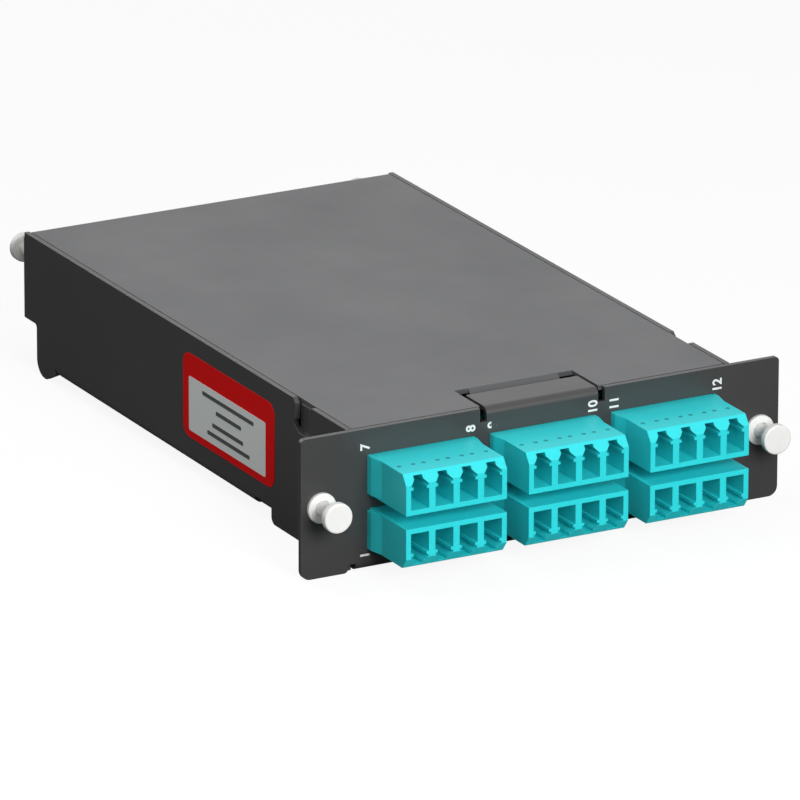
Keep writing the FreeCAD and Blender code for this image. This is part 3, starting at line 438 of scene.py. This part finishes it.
class Finish(Enum):
    """The finishes of the cassette's pieces."""

    # Near-black satin steel; fine peel breaks up its reflections and its edges are painted a little
    # paler as a highlight.
    TRAY = PowderCoat()
    # The same coat on the flat lid, an even mid grey where it mirrors the white room, its edges
    # painted paler as a highlight.
    LID = PowderCoat("powder_coated_lid", "#4A4B4D", "#8C8C8F", 0.4, peel_depth=0.008)
    # Clear turquoise, satin, nearly even in colour, with bright soft corners.
    AQUA = MouldedPlastic("moulded_pbt_aqua", "#2ADDE4", "#32E3E9", 0.42, scatter=0.12)
    # The dishes in the turquoise, painted darker as the shade in their hollows, seen as small
    # darker dots.
    MARK = MouldedPlastic("embossed_pbt_aqua_painted_shade", "#0E9A9E", "#12A2A6", 0.45)
    # Clean white with soft rims.
    NYLON = MouldedPlastic("moulded_nylon_white", "#F9F9F6", "#F2F2EE", 0.38, scatter=0.2)
    # Dark teal on the sleeve mounts deep inside the ports: painted shade of the ports' depths.
    MOUNT = MouldedPlastic("pbt_painted_port_shade", "#06474B", "#085055", 0.5)
    # Ivory with a hard gloss.
    CERAMIC = MouldedPlastic("sintered_zirconia", "#E9E6DC", "#DEDACD", 0.18, edge=0.05, ior=2.1)
    # Bright warm grey with fine lines.
    STEEL = BrightSteel()
    # Dull sand beige.
    PLUG = MouldedPlastic("moulded_pei_beige", "#C9C2A6", "#BDB594", 0.45)
    # Black with a soft sheen.
    BLACK = MouldedPlastic("moulded_pc_black", "#1C1C1D", "#262627", 0.45)
    # Black, duller and slightly greyer.
    DRUM = MouldedPlastic("moulded_abs_black", "#242425", "#2D2D2E", 0.5)
    # Mid turquoise with a soft sheen.
    JACKET = MouldedPlastic("extruded_pvc_aqua", "#17A9AD", "#1DB8BB", 0.4)
    # Off-white, flat and slightly uneven.
    INK = PrintedFilm("screen_printed_white", "#E8E8E6", "#B9B9B7")
    # Signal red with almost no gloss.
    RED = PrintedFilm("printed_vinyl_red", "#F20A0C", "#E4090B", 0.5, 0.1)
    # Cool white, seen as light grey on the shaded side.
    PALE = PrintedFilm("printed_vinyl_pale", "#F4FAF7", "#EAF0ED", 0.5, 0.15)
    # Mid grey ruled lines.
    GREY = PrintedFilm("printed_vinyl_grey", "#5A5D5D", "#6E7171", 0.5, 0.15)


class Paint:
    """Builds each finish once and gives it to pieces."""

    def __init__(self) -> None:
        """Start with no material made."""
        self.made: dict[Finish, bpy.types.Material] = {}

    def material(self, finish: Finish) -> bpy.types.Material:
        """Find the one material of a finish, made when it is first asked for.

        Args:
            finish: the finish.

        Returns:
            Its material.
        """
        if finish not in self.made:
            self.made[finish] = finish.value.build()
        return self.made[finish]

    def dress(self, piece: bpy.types.Object, finish: Finish) -> None:
        """Give a piece one finish all over, in every slot it has.

        Args:
            piece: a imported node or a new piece.
            finish: its finish.
        """
        material = self.material(finish)
        if not piece.material_slots:
            piece.data.materials.append(material)
        for slot in piece.material_slots:
            slot.material = material


# How a node's name starts, and its finish.
NODE_FINISH = {
    "cassette_tray": Finish.TRAY,
    "lid": Finish.LID,
    "adapter_": Finish.AQUA,
    # The sleeve mounts take a dark teal: painted shade inside the ports.
    "sleeve_mounts_": Finish.MOUNT,
    "sleeves_": Finish.CERAMIC,
    "clip_": Finish.STEEL,
    "inner_plugs_": Finish.PLUG,
    "mpo_adapter_": Finish.BLACK,
    "mpo_plug_": Finish.PLUG,
    "slack_drum_": Finish.DRUM,
    "harness_": Finish.JACKET,
    "front_grommet_": Finish.NYLON,
    "rear_grommet_": Finish.NYLON,
    "front_pin_": Finish.NYLON,
    "rear_pin_": Finish.NYLON,
}


def dress_nodes(paint: Paint) -> None:
    """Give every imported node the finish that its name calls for.

    Args:
        paint: the finishes.
    """
    for name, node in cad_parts.items():
        finish = next(value for start, value in NODE_FINISH.items() if name.startswith(start))
        paint.dress(node, finish)
        log.info("node %s: %s", name, finish.name)


# ---------------------------------------------------------------- modelling helpers


def deselect_all() -> None:
    """Go to object mode with nothing selected."""
    if bpy.context.object and bpy.context.object.mode != "OBJECT":
        bpy.ops.object.mode_set(mode="OBJECT")
    bpy.ops.object.select_all(action="DESELECT")


def settle(piece: bpy.types.Object) -> None:
    """Move a piece's place, turn and scale into its mesh.

    Args:
        piece: the piece, left selected and active.
    """
    deselect_all()
    piece.select_set(True)
    bpy.context.view_layer.objects.active = piece
    bpy.ops.object.transform_apply(location=True, rotation=True, scale=True)


def new_box(name: str, middle: Vector, size: Vector) -> bpy.types.Object:
    """Add a box with its place in its mesh, left in object mode.

    Args:
        name: name of the piece.
        middle: its middle in metres.
        size: its sides in metres.

    Returns:
        The box, its object at the origin.
    """
    deselect_all()
    bpy.ops.mesh.primitive_cube_add(size=1.0, location=middle)
    piece = bpy.context.object
    piece.name = name
    piece.scale = size
    settle(piece)
    return piece


def pick_edges(piece: bpy.types.Object, wanted: Callable[[bmesh.types.BMEdge], bool]) -> None:
    """Select, in edit mode, only the edges that a test picks.

    Args:
        piece: the piece that is being edited.
        wanted: says whether an edge is picked.
    """
    bpy.ops.mesh.select_mode(type="EDGE")
    bpy.ops.mesh.select_all(action="DESELECT")
    mesh = bmesh.from_edit_mesh(piece.data)
    for edge in mesh.edges:
        edge.select_set(wanted(edge))
    bmesh.update_edit_mesh(piece.data)


def copy_to(piece: bpy.types.Object, across: float) -> bpy.types.Object:
    """Copy a piece with a mesh of its own and move the copy along X.

    Args:
        piece: the piece to copy.
        across: the move in millimetres.

    Returns:
        The copy, its place in its mesh.
    """
    twin = piece.copy()
    twin.data = piece.data.copy()
    bpy.context.scene.collection.objects.link(twin)
    twin.location.x = across * MM
    settle(twin)
    return twin


def join(pieces: list[bpy.types.Object], name: str) -> bpy.types.Object:
    """Join pieces into one.

    Args:
        pieces: the pieces, all of one finish.
        name: name of the result.

    Returns:
        The joined piece.
    """
    deselect_all()
    for piece in pieces:
        piece.select_set(True)
    bpy.context.view_layer.objects.active = pieces[0]
    bpy.ops.object.join()
    pieces[0].name = name
    return pieces[0]


# ---------------------------------------------------------------- printed port numbers


# Turns type that lies on the ground so that it stands on the front and reads from below upwards.
READS_UP = Matrix(((0, -1, 0), (0, 0, -1), (1, 0, 0))).to_4x4()


@dataclass
class PortNumbers:
    """White numbers one to twelve, printed on the front plate and read from below upwards."""

    plate_front: float = -1.2  # mm, Y of the plate's front
    letter: float = 3.3  # mm, body size of the type
    bold: float = 0.09  # mm that the strokes are thickened by on each side
    film: float = 0.03  # mm, thickness of the ink
    across: tuple[float, ...] = (-45.8, -18.6, -13.0, 13.2, 18.8, 46.0)  # mm, X of a row's numbers
    upper: float = 12.6  # mm, Z of the upper numbers
    lower: float = -13.3  # mm, Z of the lower numbers

    def number(self, value: int, across: float, height: float) -> bpy.types.Object:
        """Print one number as a thin mesh on the plate.

        Args:
            value: the number.
            across: X of its middle in millimetres.
            height: Z of its middle in millimetres.

        Returns:
            The piece, its place in its mesh.
        """
        deselect_all()
        bpy.ops.object.text_add()
        text = bpy.context.object
        text.data.body = str(value)
        text.data.size = self.letter * MM
        text.data.extrude = self.film / 2 * MM
        text.data.offset = self.bold * MM
        text.data.align_x = "CENTER"
        text.data.align_y = "CENTER"
        bpy.ops.object.convert(target="MESH")
        piece = bpy.context.object
        place = Vector((across, self.plate_front - self.film / 2, height)) * MM
        piece.matrix_world = Matrix.Translation(place) @ READS_UP
        settle(piece)
        return piece

    def build(self, paint: Paint) -> None:
        """Print the numbers: one to six below, seven to twelve above.

        Args:
            paint: the finishes.
        """
        made = []
        for row, height in enumerate((self.lower, self.upper)):
            for index, across in enumerate(self.across):
                made.append(self.number(1 + len(self.across) * row + index, across, height))
        piece = join(made, "port_numbers")
        paint.dress(piece, Finish.INK)
        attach(piece, BODY)
        log.info("port_numbers: %d faces", len(piece.data.polygons))


# ---------------------------------------------------------------- side label


@dataclass
class SideLabel:
    """Plain printed label on the left wall: red border, pale field, ruled lines and no words.

    Fronts and rears are Y in millimetres, bottoms, tops and heights are Z in millimetres.
    """

    wall: float = -49.95  # mm, X of the wall's outside
    film: float = 0.12  # mm, thickness of the vinyl
    print_film: float = 0.04  # mm, thickness of what is printed on it
    front: float = 35.0
    rear: float = 80.3
    bottom: float = -8.4
    top: float = 12.2
    corner: float = 3.0  # mm, radius of the label's corners
    field_front: float = 39.2
    field_rear: float = 77.3
    field_bottom: float = -6.6
    field_top: float = 6.7
    field_corner: float = 0.6  # mm, radius
    rules: tuple[tuple[float, float, float], ...] = (
        (4.5, 45.0, 70.5),
        (1.5, 51.2, 63.7),
        (-1.9, 50.2, 65.5),
        (-4.3, 47.0, 68.0),
    )  # height, front end and rear end of each line
    rule_high: float = 1.0  # mm, width of a line
    rule_corner: float = 0.3  # mm, radius
    corner_segments: int = 8

    def plate(
        self,
        name: str,
        box: tuple[float, float, float, float],
        depth: tuple[float, float],
        radius: float,
    ) -> bpy.types.Object:
        """Lay a thin plate with rounded corners on the wall.

        Args:
            name: name of the piece.
            box: front, rear, bottom and top in millimetres.
            depth: distances of its inner and outer face from the wall in millimetres.
            radius: corner radius in millimetres.

        Returns:
            The plate.
        """
        front, rear, bottom, top = box
        inner, outer = depth
        out = self.wall - (inner + outer) / 2
        middle = Vector((out, (front + rear) / 2, (bottom + top) / 2)) * MM
        size = Vector((outer - inner, rear - front, top - bottom)) * MM
        half_thick = (outer - inner) * MM / 2

        def through(edge: bmesh.types.BMEdge) -> bool:
            """Say whether an edge runs through the plate's thickness.

            Args:
                edge: the edge.

            Returns:
                True for the four edges at the corners.
            """
            return abs(edge.verts[0].co.x - edge.verts[1].co.x) > half_thick

        piece = new_box(name, middle, size)
        bpy.ops.object.mode_set(mode="EDIT")
        pick_edges(piece, through)
        bpy.ops.mesh.bevel(
            offset=radius * MM,
            segments=self.corner_segments,
            profile=0.5,  # a round corner
            affect="EDGES",
            clamp_overlap=True,
        )
        bpy.ops.object.mode_set(mode="OBJECT")
        return piece

    def build(self, paint: Paint) -> None:
        """Stick the label on the wall.

        Args:
            paint: the finishes.
        """
        outer = (self.front, self.rear, self.bottom, self.top)
        base = self.plate("label_border", outer, (0.0, self.film), self.corner)
        paint.dress(base, Finish.RED)
        inner = (self.field_front, self.field_rear, self.field_bottom, self.field_top)
        shown = self.film + self.print_film
        pale = self.plate("label_field", inner, (self.film, shown), self.field_corner)
        paint.dress(pale, Finish.PALE)
        depth = (shown, shown + self.print_film)
        lines = []
        for index, (height, start, end) in enumerate(self.rules):
            box = (start, end, height - self.rule_high / 2, height + self.rule_high / 2)
            lines.append(self.plate(f"rule_{index}", box, depth, self.rule_corner))
        rules = join(lines, "label_rules")
        paint.dress(rules, Finish.GREY)
        for piece in (base, pale, rules):
            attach(piece, BODY)
            log.info("%s: %d faces", piece.name, len(piece.data.polygons))


# ---------------------------------------------------------------- adapter marks


@dataclass
class AdapterMarks:
    """Pairs of small moulded dishes on each adapter's latch side, one pair behind each port."""

    rise: float = 4.8  # mm, latch side above an adapter's middle
    row_upper: float = 5.8  # mm, Z of an upper adapter's middle
    row_lower: float = -7.0  # mm, Z of a lower adapter's middle
    behind_front: float = 6.7  # mm
    front: float = -18.2  # mm, Y of the adapters' front
    pair: float = 3.6  # mm between the dishes of one port
    dish: float = 1.1  # mm, diameter
    sides: int = 16  # of the ring
    lip: float = 0.16  # mm, width of the dish's rim
    proud: float = 0.03  # mm, rim of the dish above the face
    hollow: float = 0.8  # depth of the dish as a share of the rim's height

    def first(self, height: float, up: int) -> bpy.types.Object:
        """Draw one dish up from a disc in the middle of the row: a low ring with a hollow.

        Args:
            height: Z of the face in millimetres.
            up: 1 if the face looks up, -1 if it looks down.

        Returns:
            The dish.
        """
        deselect_all()
        place = Vector((0.0, self.front + self.behind_front, height)) * MM
        radius = self.dish / 2 * MM
        bpy.ops.mesh.primitive_circle_add(
            vertices=self.sides, radius=radius, fill_type="NGON", location=place
        )
        piece = bpy.context.object
        settle(piece)
        rise = (0, 0, up * self.proud * MM)
        sink = (0, 0, -up * self.proud * self.hollow * MM)
        bpy.ops.object.mode_set(mode="EDIT")
        bpy.ops.mesh.select_all(action="SELECT")
        bpy.ops.mesh.extrude_region_move(TRANSFORM_OT_translate={"value": rise})
        bpy.ops.mesh.inset(thickness=self.lip * MM)
        bpy.ops.mesh.extrude_region_move(TRANSFORM_OT_translate={"value": sink})
        bpy.ops.mesh.select_all(action="SELECT")
        bpy.ops.mesh.normals_make_consistent(inside=False)
        bpy.ops.object.mode_set(mode="OBJECT")
        return piece

    def places(self) -> list[float]:
        """Find where the dishes of one row lie.

        Returns:
            X of each dish in millimetres.
        """
        return [
            block * BLOCK_PITCH + (port - (PORTS - 1) / 2) * PORT_PITCH + side * self.pair / 2
            for block in (-1, 0, 1)
            for port in range(PORTS)
            for side in (-1, 1)
        ]

    def build(self, paint: Paint) -> None:
        """Mark the six adapters.

        Args:
            paint: the finishes.
        """
        for row, middle, up in (("upper", self.row_upper, 1), ("lower", self.row_lower, -1)):
            dish = self.first(middle + up * self.rise, up)
            made = [copy_to(dish, across) for across in self.places()]
            bpy.data.objects.remove(dish)
            piece = join(made, f"adapter_marks_{row}")
            # The dishes get a darker turquoise: painted shade in their hollows.
            paint.dress(piece, Finish.MARK)
            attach(piece, BODY)
            log.info("%s: %d faces", piece.name, len(piece.data.polygons))


# ---------------------------------------------------------------- studio


def ray_kinds(tree: bpy.types.NodeTree, *kinds: str) -> bpy.types.NodeSocket:
    """Tell rays of the named kinds from the rest.

    Args:
        tree: the node tree.
        kinds: outputs of the light path node.

    Returns:
        A socket that is one for those rays and nought for the rest.
    """
    path = add_node(tree, "ShaderNodeLightPath")
    socket = path.outputs[kinds[0]]
    for kind in kinds[1:]:
        sockets = {0: socket, 1: path.outputs[kind]}
        socket = add_node(tree, "ShaderNodeMath", sockets, operation="MAXIMUM").outputs[0]
    return socket


@dataclass(frozen=True)
class Lamp:
    """A soft square lamp that looks at the cassette."""

    name: str
    place: tuple[float, float, float]  # m
    size: float  # m, its side
    power: float  # W


LAMPS = (
    # Lights the front plate, the adapters' fronts and the plunger heads.
    Lamp("front_lamp", (-0.03, -0.62, 0.28), 0.3, 4.2),
    # Lifts the label and the left wall a little.
    Lamp("left_lamp", (-0.35, -0.25, 0.2), 0.2, 0.2),
    # A touch of light on the lid and the tops of the adapters.
    Lamp("top_lamp", (-0.05, 0.085, 0.25), 0.12, 0.17),
    # Lights the rear wall; off to the left, so that the lid doesn't mirror it to the front.
    Lamp("rear_lamp", (-0.5, 1.1, 0.6), 1.0, 5.0),
)


@dataclass
class Studio:
    """Plain white floor and backdrop, soft lamps and the camera."""

    distance: float = 2412.7305  # mm, camera to the point it looks at
    lens: float = 466.3139  # mm
    sensor: float = 36.0  # mm wide
    clip: tuple[float, float] = (0.1, 100.0)  # m
    azimuth: float = -28.507625  # degrees
    elevation: float = 19.036498  # degrees
    roll: float = 0.154151  # degrees
    target: tuple[float, float, float] = (-3.73997, 60.0, -1.63575)  # mm
    aim: tuple[float, float, float] = (0.0, 0.06, 0.0)  # m, where the lamps look
    floor: float = -16.9  # mm, what the cassette stands on
    reach: float = 6.0  # m, half side of the floor
    floor_paint: tuple[str, str] = ("#626262", "#656565")
    floor_patch: float = 60.0  # mm, patches of the two tones
    fill: float = 0.17  # light of the surround on matt surfaces
    white: float = 1.0  # light of the surround to the eye and in reflections
    glow: float = 0.9  # light that the floor shows beside what falls on it

    def camera(self) -> None:
        """Add the camera, far off with a long lens."""
        degrees = (self.azimuth, self.elevation, self.roll)
        azimuth, elevation, roll = (math.radians(v) for v in degrees)
        back = Vector(
            (
                math.sin(azimuth) * math.cos(elevation),
                -math.cos(azimuth) * math.cos(elevation),
                math.sin(elevation),
            )
        )
        level = Vector((math.cos(azimuth), math.sin(azimuth), 0.0))
        upright = back.cross(level)
        right = level * math.cos(roll) + upright * math.sin(roll)
        up = upright * math.cos(roll) - level * math.sin(roll)
        lens = bpy.data.cameras.new("camera")
        lens.sensor_width = self.sensor
        lens.lens = self.lens
        lens.clip_start, lens.clip_end = self.clip
        camera = bpy.data.objects.new("camera", lens)
        bpy.context.scene.collection.objects.link(camera)
        turn = Matrix((right, up, back)).transposed()
        place = (Vector(self.target) + back * self.distance) * MM
        camera.matrix_world = Matrix.Translation(place) @ turn.to_4x4()
        bpy.context.scene.camera = camera

    def lamp(self, plan: Lamp) -> None:
        """Add a lamp that looks at the cassette.

        Args:
            plan: the lamp's name, place, size and power.
        """
        light = bpy.data.lights.new(plan.name, "AREA")
        light.shape = "SQUARE"
        light.size = plan.size
        light.energy = plan.power
        lamp = bpy.data.objects.new(plan.name, light)
        bpy.context.scene.collection.objects.link(lamp)
        lamp.location = plan.place
        lamp.rotation_mode = "QUATERNION"
        aim = Vector(self.aim) - Vector(plan.place)
        lamp.rotation_quaternion = aim.to_track_quat("-Z", "Y")

    def world(self) -> None:
        """Surround the cassette with white to the eye and in reflections, and with a soft fill."""
        world = bpy.data.worlds.new("studio")
        bpy.context.scene.world = world
        world.use_nodes = True
        tree = world.node_tree
        tree.nodes.clear()
        fill = {"Color": WHITE, "Strength": self.fill}
        white = {"Color": WHITE, "Strength": self.white}
        matt = add_node(tree, "ShaderNodeBackground", fill).outputs[0]
        shown = add_node(tree, "ShaderNodeBackground", white).outputs[0]
        seen = ray_kinds(tree, "Is Camera Ray", "Is Transmission Ray", "Is Glossy Ray")
        both = add_node(tree, "ShaderNodeMixShader", {0: seen, 1: matt, 2: shown})
        add_node(tree, "ShaderNodeOutputWorld", {"Surface": both.outputs[0]})

    def ground(self) -> None:
        """Lay the floor: white to the eye, with the cassette's own soft shadow."""
        deselect_all()
        place = (0, 0, self.floor * MM)
        bpy.ops.mesh.primitive_plane_add(size=2 * self.reach, location=place)
        floor = bpy.context.object
        floor.name = "floor"
        settle(floor)
        material, tree, place = blank_material("painted_floor")
        patch = noise(tree, place, self.floor_patch, Detail=2.0)
        tone = mix_colours(tree, patch, *(linear(code) for code in self.floor_paint))
        matt = add_node(tree, "ShaderNodeBsdfDiffuse", {"Color": tone}).outputs[0]
        light = {"Color": WHITE, "Strength": self.glow}
        glow = add_node(tree, "ShaderNodeEmission", light).outputs[0]
        lit = add_node(tree, "ShaderNodeAddShader", {0: matt, 1: glow}).outputs[0]
        seen = ray_kinds(tree, "Is Camera Ray", "Is Transmission Ray")
        both = add_node(tree, "ShaderNodeMixShader", {0: seen, 1: matt, 2: lit})
        finish_material(tree, both.outputs[0])
        floor.data.materials.append(material)

    def build(self) -> None:
        """Set the studio up."""
        bpy.context.scene.view_settings.view_transform = "Standard"
        self.camera()
        self.world()
        self.ground()
        for plan in LAMPS:
            self.lamp(plan)
        log.info("studio ready")


# ---------------------------------------------------------------- main


def main() -> None:
    """Dress the nodes, add the new pieces and set up the studio."""
    logging.basicConfig(level=logging.INFO, format="%(name)s: %(message)s")
    Studio().build()
    paint = Paint()
    dress_nodes(paint)
    PortNumbers().build(paint)
    SideLabel().build(paint)
    AdapterMarks().build(paint)
    deselect_all()


if __name__ == "__main__":
    main()
